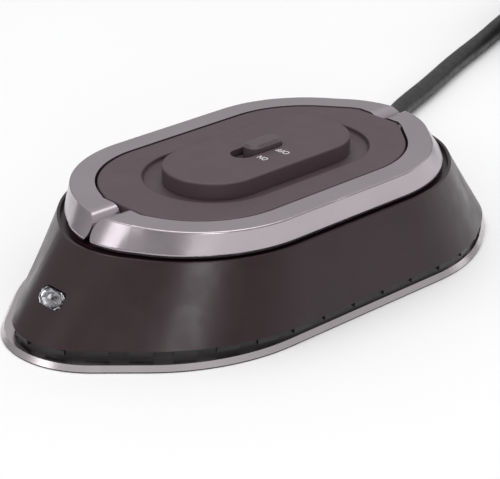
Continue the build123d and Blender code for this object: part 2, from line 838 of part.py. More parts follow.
def tube(path, radius):
    start = Plane(origin=path @ 0, z_dir=path % 0)
    return sweep(start * Circle(radius), path=path)


def cord():
    path = route_path(CORD_ROUTE)
    solid = tube(path, cord_diameter / 2)
    ideal = math.pi * (cord_diameter / 2) ** 2 * path.length
    print("cord length", round(path.length, 1), "volume ratio", round(solid.volume / ideal, 4))
    return solid


def plug_cord():
    path = route_path(PLUG_ROUTE)
    print("plug cord length", round(path.length, 1))
    return tube(path, cord_diameter / 2)


def inner_cord():
    start = CORD_ROUTE[0][0]
    return rod_x(cord_inner_x, start, 0, cord_exit_z, cord_diameter / 2)


def strain_relief():
    """Tapered sleeve round the first bend of the cord, with a collar in the tail wall."""
    sleeve_points = CORD_ROUTE[:4]
    path = route_path(sleeve_points)
    sections = []
    for i in range(boot_stations):
        share = i / (boot_stations - 1)
        place = path.location_at(share * boot_share)
        radius = boot_root_radius + (boot_tip_radius - boot_root_radius) * share
        plane = Plane(origin=place.position, z_dir=path.tangent_at(share * boot_share))
        sections.append(plane * Circle(radius))
    sleeve = loft([s.face() for s in sections])
    start_x = CORD_ROUTE[0][0]
    tail_x = shell_at(cord_exit_z).tail
    flange_x, collar_x = tail_x - gland_flange_from, tail_x - gland_collar_from
    collar = rod_x(collar_x, start_x + gland_mouth, 0, cord_exit_z, gland_radius - gland_clearance)
    flange = rod_x(flange_x, collar_x, 0, cord_exit_z, gland_radius + gland_flange_lip)
    body = sleeve + collar + flange
    body -= rod_x(flange_x, start_x, 0, cord_exit_z, cord_diameter / 2)
    return body - tube(path, cord_diameter / 2)


def cord_clamp():
    """Clip that hangs from the casing's ledge and grips the cord."""
    radius = cord_diameter / 2
    hanger = box(clamp_span, (-clamp_half_width, clamp_half_width),
                 (cord_exit_z - radius - clamp_wall, ledge_z - shell_deck_plate))
    return hanger - rod_x(*clamp_span, 0, cord_exit_z, radius)


def coil_section():
    """Width and height of the wound turns."""
    return coil_columns * cord_diameter, coil_rows * cord_diameter


def tie_boxes():
    width, height = coil_section()
    outer = box((coil_mean_radius - width / 2 - tie_thickness, coil_mean_radius + width / 2 + tie_thickness),
                (-tie_width / 2, tie_width / 2), (0, height + tie_thickness))
    inner = box((coil_mean_radius - width / 2, coil_mean_radius + width / 2),
                (-tie_width / 2, tie_width / 2), (tie_thickness, height))
    place = Pos(*coil_centre, 0) * Rot(0, 0, tie_angle)
    return place * outer, place * inner


def cord_coil():
    width, height = coil_section()
    low, high = coil_mean_radius - width / 2, coil_mean_radius + width / 2
    ring = Pos(*coil_centre, height / 2) * (Cylinder(high, height) - Cylinder(low, height))
    ring = fillet(ring.edges().filter_by(GeomType.CIRCLE), cord_diameter / 2.2)
    return ring - cord_tie()


def cord_tie():
    outer, inner = tie_boxes()
    return outer - inner


def plug_place():
    end, before = Vector(*PLUG_ROUTE[-1]), Vector(*PLUG_ROUTE[-2])
    way = Vector(end.X - before.X, end.Y - before.Y, 0).normalized()
    return Plane(origin=end, x_dir=way, z_dir=(0, 0, 1))


def plug_body():
    place = plug_place()
    rear = Plane(origin=place.origin, x_dir=place.y_dir, z_dir=place.x_dir)
    shoulder = RectangleRounded(plug_width * plug_shoulder, plug_thickness * plug_shoulder, plug_corner_radius)
    front = RectangleRounded(plug_width, plug_thickness, plug_corner_radius)
    middle = (rear.offset(plug_neck_length) * shoulder).face()
    neck = loft([(rear * Circle(plug_neck_radius)).face(), middle])
    grip = loft([middle, (rear.offset(plug_length) * front).face()])
    body = neck + grip
    for blade in plug_blade_boxes():
        body -= blade
    return body


def plug_blade_boxes():
    place = plug_place()
    boxes = []
    for side in SIDES:
        length = blade_length + blade_root
        centre = place.origin + place.x_dir * (plug_length - blade_root + length / 2)
        centre += place.y_dir * (side * blade_spacing / 2)
        plane = Plane(origin=centre, x_dir=place.x_dir, z_dir=(0, 0, 1))
        boxes.append(plane * Box(length, blade_thickness, blade_width))
    return boxes


def plug_blades():
    return Compound(children=plug_blade_boxes())


PARTS = {
    "sole_coating": sole_coating,
    "soleplate": soleplate,
    "heating_element": heating_element,
    "heater_terminals": heater_terminals,
    "vent_skirt": skirt,
    "sole_screws": sole_screws,
    "skirt_screws": skirt_screws,
    "insulation_mat": insulation_mat,
    "heat_shield": heat_shield,
    "body_shell": body_shell,
    "deck_panel": deck_panel,
    "deck_screws": deck_screws,
    "front_hinge_block": lambda: hinge_block(True),
    "rear_hinge_block": lambda: hinge_block(False),
    "front_hinge_pins": lambda: hinge_pins(True),
    "rear_hinge_pins": lambda: hinge_pins(False),
    "handle_near": lambda: handle_half(-1),
    "handle_near_cover": lambda: handle_cover_half(-1),
    "handle_far": lambda: handle_half(1),
    "handle_far_cover": lambda: handle_cover_half(1),
    "switch_button": switch_button,
    "switch_housing": switch_housing,
    "switch_terminals": switch_terminals,
    "switch_screws": switch_screws,
    "thermostat": thermostat,
    "thermal_fuse": thermal_fuse,
    "terminal_block": terminal_block,
    "terminal_screws": terminal_screws,
    "indicator_lens": indicator_lens,
    "lamp_holder": lamp_holder,
    "indicator_lamp": indicator_lamp,
    "lead_live": lead_live,
    "lead_switched": lead_switched,
    "lead_neutral": lead_neutral,
    "lead_lamp": lead_lamp,
    "inner_cord": inner_cord,
    "cord_clamp": cord_clamp,
    "strain_relief": strain_relief,
    "cord": cord,
    "cord_coil": cord_coil,
    "cord_tie": cord_tie,
    "plug_cord": plug_cord,
    "plug_body": plug_body,
    "plug_blades": plug_blades,
}


def main():
    os.makedirs("parts", exist_ok=True)
    for name, make in PARTS.items():
        export_step(make(), f"parts/{name}.step")


main()
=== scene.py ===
"""Studio scene of a compact travel iron with a split ring handle, a slide switch and a wound mains cord.

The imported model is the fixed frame: the casing points its nose to -X, the cord leaves the tail at +X, the
near side is -Y and the ironing face lies on the floor at Z = 0. Every length below is in metres.
"""

import logging
import math
from collections.abc import Callable, Iterable, Sequence
from dataclasses import dataclass, field
from enum import Enum

import bmesh
import bpy
from mathutils import Matrix, Vector

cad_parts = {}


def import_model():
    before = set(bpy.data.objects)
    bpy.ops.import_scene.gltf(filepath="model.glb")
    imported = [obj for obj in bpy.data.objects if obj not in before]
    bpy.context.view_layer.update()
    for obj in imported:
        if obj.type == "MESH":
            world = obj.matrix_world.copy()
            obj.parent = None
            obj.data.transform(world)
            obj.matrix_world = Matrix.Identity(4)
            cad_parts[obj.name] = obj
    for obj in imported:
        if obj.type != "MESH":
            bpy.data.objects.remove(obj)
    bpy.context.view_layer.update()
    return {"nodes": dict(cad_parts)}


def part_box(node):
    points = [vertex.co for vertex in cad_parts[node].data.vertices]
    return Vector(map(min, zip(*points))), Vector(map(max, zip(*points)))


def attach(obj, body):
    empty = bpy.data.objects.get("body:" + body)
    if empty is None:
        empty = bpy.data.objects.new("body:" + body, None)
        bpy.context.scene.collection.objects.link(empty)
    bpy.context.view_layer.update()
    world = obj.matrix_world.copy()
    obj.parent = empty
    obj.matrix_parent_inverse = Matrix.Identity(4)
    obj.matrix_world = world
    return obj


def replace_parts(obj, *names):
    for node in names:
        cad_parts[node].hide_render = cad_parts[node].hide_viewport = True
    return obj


log = logging.getLogger("travel_iron")

Colour = tuple[float, float, float]
Point = tuple[float, float, float]
Section = list[Vector]

MM = 0.001


class Side(Enum):
    """The two long sides of the iron."""

    NEAR = -1
    FAR = 1


class Shading(Enum):
    """How sharp an edge has to be before it is drawn as an edge, in degrees."""

    FACETED = 1.0
    CRISP = 32.0
    SOFT = 60.0


# ---- materials -----------------------------------------------------------------------------------
class Bench:
    """The node tree of one material, with short ways to add what most finishes need."""

    def __init__(self, name: str) -> None:
        """Starts an empty material with its shader and object coordinates.

        Args:
            name: The material's name.
        """
        self.material = bpy.data.materials.new(name)
        self.material.use_nodes = True
        self.tree = self.material.node_tree
        self.shader = self.tree.nodes["Principled BSDF"]
        self.place = self.add("ShaderNodeTexCoord").outputs["Object"]

    def add(self, kind: str) -> bpy.types.Node:
        """Adds one node of a kind."""
        return self.tree.nodes.new(kind)

    def link(self, source: bpy.types.NodeSocket, target: bpy.types.NodeSocket) -> None:
        """Joins an output to an input."""
        self.tree.links.new(source, target)

    def stretched(self, scale: Point) -> bpy.types.NodeSocket:
        """Object coordinates with each axis multiplied.

        Args:
            scale: The factor along X, Y and Z.

        Returns:
            The scaled coordinates.
        """
        mapping = self.add("ShaderNodeMapping")
        mapping.inputs["Scale"].default_value = scale
        self.link(self.place, mapping.inputs["Vector"])
        return mapping.outputs["Vector"]

    def noise(self, size: float, detail: float = 2.0,
              place: bpy.types.NodeSocket | None = None) -> bpy.types.NodeSocket:
        """Adds a noise pattern.

        Args:
            size: How far apart its blotches lie, in metres.
            detail: How many finer layers lie over the first.
            place: The coordinates to use, or None for object coordinates.

        Returns:
            The pattern, from 0 to 1.
        """
        node = self.add("ShaderNodeTexNoise")
        node.inputs["Scale"].default_value = 1.0 / size
        node.inputs["Detail"].default_value = detail
        self.link(place or self.place, node.inputs["Vector"])
        return node.outputs["Fac"]

    def ranged(self, source: bpy.types.NodeSocket, low: float, high: float,
               start: float = 0.3, stop: float = 0.7) -> bpy.types.NodeSocket:
        """Stretches a pattern over a range of values.

        Args:
            source: The pattern.
            low: The value where the pattern is at its start.
            high: The value where the pattern is at its stop.
            start: The pattern's value that gives low.
            stop: The pattern's value that gives high.

        Returns:
            The new values.
        """
        node = self.add("ShaderNodeMapRange")
        node.interpolation_type = "SMOOTHSTEP"
        node.inputs["From Min"].default_value = start
        node.inputs["From Max"].default_value = stop
        node.inputs["To Min"].default_value = low
        node.inputs["To Max"].default_value = high
        self.link(source, node.inputs["Value"])
        return node.outputs["Result"]

    def mixed(self, share: bpy.types.NodeSocket, low: Colour, high: Colour) -> bpy.types.NodeSocket:
        """Mixes two colours by a pattern.

        Args:
            share: The pattern, from 0 to 1.
            low: The colour at 0.
            high: The colour at 1.

        Returns:
            The mixed colour.
        """
        node = self.add("ShaderNodeMix")
        node.data_type = "RGBA"
        for socket in node.inputs:
            if socket.identifier == "A_Color":
                socket.default_value = (*low, 1.0)
            if socket.identifier == "B_Color":
                socket.default_value = (*high, 1.0)
            if socket.identifier == "Factor_Float":
                self.link(share, socket)
        return next(s for s in node.outputs if s.identifier == "Result_Color")

    def bump(self, source: bpy.types.NodeSocket, depth: float,
             under: bpy.types.NodeSocket | None = None) -> bpy.types.NodeSocket:
        """Turns a pattern into relief.

        Args:
            source: The pattern, from 0 to 1.
            depth: How deep it is, in metres.
            under: The relief that lies under this one, if any.

        Returns:
            The surface's normal.
        """
        node = self.add("ShaderNodeBump")
        node.inputs["Distance"].default_value = depth
        node.inputs["Strength"].default_value = 1.0
        self.link(source, node.inputs["Height"])
        if under is not None:
            self.link(under, node.inputs["Normal"])
        return node.outputs["Normal"]

    def upward(self) -> bpy.types.NodeSocket:
        """How level a face lies: 1 where it faces straight up or down, and 0 where it stands upright."""
        normal = self.add("ShaderNodeNewGeometry").outputs["True Normal"]
        split = self.add("ShaderNodeSeparateXYZ")
        self.link(normal, split.inputs["Vector"])
        size = self.add("ShaderNodeMath")
        size.operation = "ABSOLUTE"
        self.link(split.outputs["Z"], size.inputs[0])
        return size.outputs["Value"]


def shade(colour: Colour, factor: float) -> Colour:
    """A colour made lighter or darker by a factor."""
    return tuple(min(1.0, c * factor) for c in colour)


@dataclass(frozen=True)
class Finish:
    """A surface with blotchy colour, uneven gloss and a fine relief."""

    name: str
    colour: Colour
    roughness: float = 0.45
    metallic: float = 0.0
    mottle: float = 0.06         # how far the colour strays, as a share
    mottle_size: float = 0.012
    gloss_spread: float = 0.05   # how far the roughness strays
    grain_size: float = 0.0005
    grain_depth: float = 0.000012
    specular: float = 0.5
    coat: float = 0.0
    coat_roughness: float = 0.1

    def paint(self, bench: Bench) -> None:
        """Gives the shader its colour, gloss and relief.

        Args:
            bench: The material's nodes.
        """
        blotches = bench.ranged(bench.noise(self.mottle_size, 3.0), 0.0, 1.0)
        light, dark = shade(self.colour, 1 + self.mottle), shade(self.colour, 1 - self.mottle)
        bench.link(bench.mixed(blotches, dark, light), bench.shader.inputs["Base Color"])
        gloss = bench.noise(self.mottle_size * 0.35, 2.0)
        low, high = self.roughness - self.gloss_spread, self.roughness + self.gloss_spread
        bench.link(bench.ranged(gloss, low, high), bench.shader.inputs["Roughness"])
        bench.link(self.relief(bench), bench.shader.inputs["Normal"])

    def relief(self, bench: Bench) -> bpy.types.NodeSocket:
        """The fine grain of the surface."""
        return bench.bump(bench.noise(self.grain_size, 2.0), self.grain_depth)

    def make(self) -> bpy.types.Material:
        """Builds the material.

        Returns:
            The finished material.
        """
        bench = Bench(self.name)
        shader = bench.shader.inputs
        shader["Metallic"].default_value = self.metallic
        shader["Specular IOR Level"].default_value = self.specular
        shader["Coat Weight"].default_value = self.coat
        shader["Coat Roughness"].default_value = self.coat_roughness
        self.paint(bench)
        return bench.material


@dataclass(frozen=True)
class Lacquer(Finish):
    """Metallic paint: fine flakes under a satin clear coat."""

    flake_size: float = 0.00022
    flake_depth: float = 0.000006
    wave_size: float = 0.03      # the slow unevenness of a sprayed surface
    wave_depth: float = 0.00004

    def relief(self, bench: Bench) -> bpy.types.NodeSocket:
        """Sprayed unevenness with flakes on it."""
        waves = bench.bump(bench.noise(self.wave_size, 1.0), self.wave_depth)
        return bench.bump(bench.noise(self.flake_size, 1.0), self.flake_depth, waves)


@dataclass(frozen=True)
class BareMetal(Finish):
    """Metal with fine drawn lines along one axis."""

    metallic: float = 1.0
    line_scale: Point = (40.0, 1500.0, 1500.0)
    line_depth: float = 0.00001

    def relief(self, bench: Bench) -> bpy.types.NodeSocket:
        """Drawn lines, long along one axis and fine across it."""
        lines = bench.noise(1.0, 2.0, bench.stretched(self.line_scale))
        return bench.bump(lines, self.line_depth)


@dataclass(frozen=True)
class IroningFace(Finish):
    """Light ceramic coating whose upright edge is painted dark as a painted contact shadow."""

    # painted shadow: the colour of the upright edge, standing in for the dark line of shade at the bottom
    edge_shadow_colour: Colour = (0.012, 0.010, 0.011)
    speck_size: float = 0.0007

    def paint(self, bench: Bench) -> None:
        """Adds fine specks to the flat face and a painted shadow tone to the upright edge.

        Args:
            bench: The material's nodes.
        """
        super().paint(bench)
        specks = bench.ranged(bench.noise(self.speck_size, 0.0), 0.0, 1.0, 0.62, 0.74)
        face = bench.mixed(specks, self.colour, shade(self.colour, 0.72))
        # where the face stands upright it takes the painted shadow colour instead of the light ceramic
        level = bench.ranged(bench.upward(), 0.0, 1.0, 0.4, 0.6)
        both = bench.add("ShaderNodeMix")
        both.data_type = "RGBA"
        sockets = {s.identifier: s for s in both.inputs}
        sockets["A_Color"].default_value = (*self.edge_shadow_colour, 1.0)
        bench.link(level, sockets["Factor_Float"])
        bench.link(face, sockets["B_Color"])
        result = next(s for s in both.outputs if s.identifier == "Result_Color")
        bench.link(result, bench.shader.inputs["Base Color"])


@dataclass(frozen=True)
class Clear(Finish):
    """Clear moulded plastic or glass."""

    index: float = 1.49
    transmission: float = 1.0

    def paint(self, bench: Bench) -> None:
        """Adds the transmission under the ordinary colour and relief.

        Args:
            bench: The material's nodes.
        """
        super().paint(bench)
        bench.shader.inputs["Transmission Weight"].default_value = self.transmission
        bench.shader.inputs["IOR"].default_value = self.index


@dataclass(frozen=True)
class Felt(Finish):
    """Pressed mineral fibres with a soft nap."""

    fibre_scale: Point = (900.0, 300.0, 900.0)
    fibre_depth: float = 0.0002
    nap: float = 0.4

    def paint(self, bench: Bench) -> None:
        """Adds a nap to the ordinary colour and relief."""
        super().paint(bench)
        bench.shader.inputs["Sheen Weight"].default_value = self.nap

    def relief(self, bench: Bench) -> bpy.types.NodeSocket:
        """A fibre relief, stretched along the axes by the fibre scale."""
        fibres = bench.noise(1.0, 3.0, bench.stretched(self.fibre_scale))
        return bench.bump(fibres, self.fibre_depth)


@dataclass(frozen=True)
class Finishes:
    """Every finish of the iron, built once and kept by its name."""

    made: dict[str, bpy.types.Material] = field(default_factory=dict)

    def of(self, finish: Finish) -> bpy.types.Material:
        """The material of a finish, built the first time it is asked for."""
        if finish.name not in self.made:
            self.made[finish.name] = finish.make()
        return self.made[finish.name]


CASING = Finish("casing_satin_brown", (0.022, 0.009, 0.012), roughness=0.33, mottle=0.05,
                mottle_size=0.02, gloss_spread=0.04, grain_size=0.0004, grain_depth=0.00001, specular=0.45)
# the deck panel is the casing's plastic with a lighter copy of its colour: painted top light
DECK_TOP_LIT = Finish("deck_brown_painted_top_light", (0.078, 0.050, 0.060), roughness=0.50, mottle=0.04,
              mottle_size=0.018, gloss_spread=0.04, grain_size=0.0004, grain_depth=0.000012)
KNOB = Finish("knob_satin_brown", (0.080, 0.060, 0.068), roughness=0.36, mottle=0.04,
              mottle_size=0.004, gloss_spread=0.04, grain_size=0.0003, grain_depth=0.00001)
RING = Lacquer("ring_mauve_lacquer", (0.45, 0.40, 0.43), roughness=0.23, metallic=0.92, mottle=0.03,
               mottle_size=0.02, gloss_spread=0.02, coat=0.15, coat_roughness=0.15)
RING_COVER = Lacquer("ring_cover_silver", (0.66, 0.62, 0.65), roughness=0.34, metallic=0.85, mottle=0.03,
                     mottle_size=0.02, gloss_spread=0.03)
SOLE_RIM = BareMetal("sole_rim_polished", (0.60, 0.55, 0.57), roughness=0.24, mottle=0.03,
                     mottle_size=0.02, gloss_spread=0.04, line_depth=0.000004)
SOLE_FACE = IroningFace("ironing_face_ceramic", (0.74, 0.74, 0.75), roughness=0.28, mottle=0.02,
                        mottle_size=0.02, gloss_spread=0.03, grain_depth=0.000004)
SKIRT = Finish("skirt_black_moulding", (0.011, 0.010, 0.010), roughness=0.38, mottle=0.10,
               mottle_size=0.01, gloss_spread=0.06, grain_size=0.0005, grain_depth=0.00002)
STEEL = BareMetal("plain_steel", (0.52, 0.52, 0.53), roughness=0.30, mottle=0.06, gloss_spread=0.07)
ZINC = BareMetal("zinc_plate", (0.60, 0.61, 0.63), roughness=0.38, mottle=0.12, mottle_size=0.003,
                 gloss_spread=0.10, line_depth=0.000004)
BRASS = BareMetal("rolled_brass", (0.72, 0.53, 0.24), roughness=0.26, mottle=0.07, gloss_spread=0.06)
MAT = Felt("insulation_felt", (0.80, 0.77, 0.69), roughness=0.95, mottle=0.10, mottle_size=0.004)
CERAMIC = Finish("glazed_ceramic", (0.80, 0.78, 0.74), roughness=0.18, mottle=0.04, mottle_size=0.003,
                 grain_depth=0.000004, coat=0.4, coat_roughness=0.08)
BLACK_MOULDING = Finish("inner_black_moulding", (0.030, 0.030, 0.031), roughness=0.5, mottle=0.10,
                        mottle_size=0.005, grain_size=0.0006, grain_depth=0.00002)
JEWEL = Clear("clear_jewel", (0.97, 0.97, 0.98), roughness=0.03, mottle=0.01, gloss_spread=0.01,
              grain_size=0.002, grain_depth=0.000002)
REFLECTOR = BareMetal("lamp_reflector", (0.34, 0.34, 0.36), roughness=0.12, mottle=0.05, mottle_size=0.001,
                      gloss_spread=0.05, line_depth=0.000004)
LAMP = Clear("red_lamp_glass", (0.85, 0.10, 0.06), roughness=0.08, mottle=0.05, gloss_spread=0.02,
             transmission=0.7)
LEAD_RED = Finish("red_silicone", (0.42, 0.030, 0.022), roughness=0.42, mottle=0.08, mottle_size=0.002,
                  grain_depth=0.00001)
LEAD_WHITE = Finish("white_silicone", (0.72, 0.72, 0.70), roughness=0.42, mottle=0.05, mottle_size=0.002,
                    grain_depth=0.00001)
CORD_SHEATH = Finish("cord_black_rubber", (0.016, 0.016, 0.017), roughness=0.46, mottle=0.12,
                     mottle_size=0.008, gloss_spread=0.08, grain_size=0.0004, grain_depth=0.00002)
PLUG_RUBBER = Finish("plug_black_rubber", (0.017, 0.017, 0.018), roughness=0.40, mottle=0.12,
                     mottle_size=0.006, gloss_spread=0.07, grain_size=0.0006, grain_depth=0.00002)
STRAP = Felt("tie_black_strap", (0.024, 0.024, 0.026), roughness=0.85, mottle=0.15, mottle_size=0.0015,
             fibre_scale=(1400.0, 1400.0, 1400.0), fibre_depth=0.00012, nap=0.3)
PRINT = Finish("label_white_print", (0.80, 0.77, 0.79), roughness=0.55, mottle=0.04, mottle_size=0.0008,
               grain_size=0.0003, grain_depth=0.000004)

NODE_FINISHES: dict[str, Finish] = {
    "sole_coating": SOLE_FACE, "soleplate": SOLE_RIM, "vent_skirt": SKIRT, "body_shell": CASING,
    "deck_panel": DECK_TOP_LIT, "handle_near": RING, "handle_far": RING, "handle_near_cover": RING_COVER,
    "handle_far_cover": RING_COVER, "switch_button": KNOB, "heating_element": STEEL,
    "front_hinge_pins": STEEL, "rear_hinge_pins": STEEL, "front_hinge_block": ZINC, "rear_hinge_block": ZINC,
    "heater_terminals": ZINC, "sole_screws": ZINC, "skirt_screws": ZINC, "deck_screws": ZINC,
    "switch_screws": ZINC, "heat_shield": ZINC, "thermal_fuse": ZINC, "insulation_mat": MAT,
    "thermostat": CERAMIC, "terminal_block": CERAMIC, "terminal_screws": BRASS, "switch_terminals": BRASS,
    "switch_housing": BLACK_MOULDING, "lamp_holder": BLACK_MOULDING, "cord_clamp": BLACK_MOULDING,
    "indicator_lamp": LAMP, "lead_live": LEAD_RED, "lead_switched": LEAD_RED, "lead_neutral": LEAD_WHITE,
    "lead_lamp": LEAD_WHITE, "inner_cord": CORD_SHEATH,
}


# ---- mesh tools ----------------------------------------------------------------------------------
def new_piece(name: str, mesh: bpy.types.Mesh, finish: bpy.types.Material,
              shading: Shading) -> bpy.types.Object:
    """Links a mesh to the scene as one piece.

    Args:
        name: The piece's name.
        mesh: Its mesh.
        finish: Its material.
        shading: How sharp an edge has to be to be drawn.

    Returns:
        The new object.
    """
    mesh.materials.clear()
    mesh.materials.append(finish)
    mesh.shade_smooth()
    mesh.set_sharp_from_angle(angle=math.radians(shading.value))
    piece = bpy.data.objects.new(name, mesh)
    bpy.context.scene.collection.objects.link(piece)
    return piece


def loft(name: str, sections: Sequence[Section], closed: bool = False) -> bpy.types.Mesh:
    """Skins a row of closed sections that have the same number of points.

    Args:
        name: The mesh's name.
        sections: The sections, in order.
        closed: True if the last section joins the first, and False for capped ends.

    Returns:
        The mesh.
    """
    build = bmesh.new()
    rings = [[build.verts.new(p) for p in section] for section in sections]
    pairs = list(zip(rings, rings[1:])) + ([(rings[-1], rings[0])] if closed else [])
    for low, high in pairs:
        for i in range(len(low)):
            j = (i + 1) % len(low)
            build.faces.new((low[i], low[j], high[j], high[i]))
    if not closed:
        build.faces.new(list(reversed(rings[0])))
        build.faces.new(rings[-1])
    bmesh.ops.recalc_face_normals(build, faces=build.faces)
    mesh = bpy.data.meshes.new(name)
    build.to_mesh(mesh)
    build.free()
    return mesh


def circle(radius: float, count: int = 32) -> list[tuple[float, float]]:
    """Points round a circle in a plane, as (x, y) pairs."""
    turns = [2 * math.pi * i / count for i in range(count)]
    return [(radius * math.cos(t), radius * math.sin(t)) for t in turns]


def rounded_box(width: float, height: float, radius: float, per_corner: int = 8) -> list[tuple[float, float]]:
    """Points round a rectangle with rounded corners, centred on the plane's origin.

    Args:
        width: Its size along x.
        height: Its size along y.
        radius: The radius of its corners.
        per_corner: How many points each corner has.

    Returns:
        The points, as (x, y) pairs.
    """
    points = []
    for quarter, (sx, sy) in enumerate(((1, 1), (-1, 1), (-1, -1), (1, -1))):
        cx, cy = sx * (width / 2 - radius), sy * (height / 2 - radius)
        for i in range(per_corner):
            turn = math.pi / 2 * (quarter + i / (per_corner - 1))
            points.append((cx + radius * math.cos(turn), cy + radius * math.sin(turn)))
    return points


def placed(points: Iterable[tuple[float, float]], centre: Vector, across: Vector, up: Vector) -> Section:
    """Puts plane points into space.

    Args:
        points: The points, as (x, y) pairs.
        centre: Where the plane's origin goes.
        across: The direction of the plane's x.
        up: The direction of the plane's y.

    Returns:
        The points in space.
    """
    return [centre + across * x + up * y for x, y in points]


def along(line: Sequence[Vector], start: float, stop: float,
          step: float) -> list[tuple[Vector, Vector, float]]:
    """Even stations along a line.

    Args:
        line: The line's points.
        start: The distance of the first station from the line's beginning.
        stop: The distance of the last station.
        step: About how far apart the stations lie.

    Returns:
        The place, direction and distance of each station.
    """
    reach = [0.0]
    for a, b in zip(line, line[1:]):
        reach.append(reach[-1] + (b - a).length)
    count = max(2, round((stop - start) / step) + 1)
    stations, i = [], 0
    for k in range(count):
        at = start + (stop - start) * k / (count - 1)
        while i < len(line) - 2 and reach[i + 1] < at:
            i += 1
        share = (at - reach[i]) / max(reach[i + 1] - reach[i], 1e-9)
        ahead, behind = line[min(i + 3, len(line) - 1)], line[max(i - 2, 0)]
        stations.append((line[i].lerp(line[i + 1], share), (ahead - behind).normalized(), at))
    return stations


def swept(name: str, stations: Sequence[tuple[Vector, Vector, float]],
          profile: Callable[[float], list[tuple[float, float]]]) -> bpy.types.Mesh:
    """Sweeps a section that may change along a line.

    Args:
        name: The mesh's name.
        stations: The place, direction and distance of each section.
        profile: Gives the section's plane points at a distance.

    Returns:
        The mesh.
    """
    sections = []
    for place, direction, at in stations:
        across = direction.cross(Vector((0, 0, 1))).normalized()
        sections.append(placed(profile(at), place, across, across.cross(direction).normalized()))
    return loft(name, sections)


# ---- the iron itself -----------------------------------------------------------------------------
@dataclass
class CadPieces:
    """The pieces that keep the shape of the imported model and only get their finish."""

    nodes: dict[str, bpy.types.Object]
    finishes: Finishes

    def dress(self) -> None:
        """Gives each shown piece its material and the slot that it is painted by."""
        for node, finish in NODE_FINISHES.items():
            piece = self.nodes[node]
            material = self.finishes.of(finish)
            if piece.material_slots:
                for slot in piece.material_slots:
                    slot.material = material
            else:
                piece.data.materials.append(material)
        log.info("dressed %d pieces of the packed model", len(NODE_FINISHES))


@dataclass
class Jewel:
    """Clear faceted indicator window on the slope of the nose, with its reflector behind it."""

    finishes: Finishes
    window: bpy.types.Object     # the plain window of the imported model
    width: float = 0.0094
    height: float = 0.0054
    corner: float = 0.0017       # how far each corner is cut off
    proud: float = 0.0011
    girdle: float = 0.00035      # how far the cut edge stands out of the casing
    table_share: float = 0.52
    depth: float = 0.0022
    lean_share: float = 0.70     # of the casing's whole rise that the nose's lean is measured over
    reflector_gap: float = 0.00025
    reflector_rows: tuple[tuple[float, float], ...] = (   # the share of the outline, and the rise
        (1.0, 0.0012), (0.94, 0.0012), (0.60, 0.0004), (0.18, 0.0), (0.18, -0.0003), (1.0, -0.0003))

    def place(self) -> tuple[Vector, Vector, Vector, Vector]:
        """Where the window sits on the casing.

        Returns:
            The middle of the opening, its sideways, upward and outward directions.
        """
        low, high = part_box("indicator_lens")
        lean = math.atan(self.slope(*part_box("body_shell")))
        outward = Vector((-math.cos(lean), 0, math.sin(lean)))
        upward = Vector((math.sin(lean), 0, math.cos(lean)))
        middle = Vector(((low.x + high.x) / 2, 0, (low.z + high.z) / 2))
        front = max((v.co - middle).dot(outward) for v in self.window.data.vertices)
        return middle + outward * (front - self.proud), Vector((0, -1, 0)), upward, outward

    def slope(self, low: Vector, high: Vector) -> float:
        """How far the nose leans back for its rise, from the casing's lowest and highest corners."""
        crown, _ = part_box("handle_near")
        return (crown.x - low.x) / (high.z - low.z) * self.lean_share

    def outline(self, share: float) -> list[tuple[float, float]]:
        """The eight corners of the cut stone, at a share of its full size, as (x, y) pairs."""
        x, y, cut = self.width / 2 * share, self.height / 2 * share, self.corner * share
        return [(x, -y + cut), (x, y - cut), (x - cut, y), (-x + cut, y),
                (-x, y - cut), (-x, -y + cut), (-x + cut, -y), (x - cut, -y)]

    def build(self) -> None:
        """Makes the stone and its reflector, and seats them on the casing."""
        middle, across, up, out = self.place()
        rows = [(1.0, -self.depth), (1.0, self.girdle), (self.table_share, self.proud)]
        sections = [placed(self.outline(share), middle + out * rise, across, up) for share, rise in rows]
        stone = new_piece("indicator_jewel", loft("indicator_jewel", sections),
                          self.finishes.of(JEWEL), Shading.FACETED)
        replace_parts(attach(stone, "casing"), "indicator_lens")
        back = middle - out * (self.depth + self.reflector_gap)
        bowl = [placed(self.outline(share), back + out * rise, across, up)
                for share, rise in self.reflector_rows]
        cup = new_piece("indicator_reflector", loft("indicator_reflector", bowl, closed=True),
                        self.finishes.of(REFLECTOR), Shading.FACETED)
        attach(cup, "casing")
        log.info("indicator jewel at x %.1f mm", middle.x / MM)


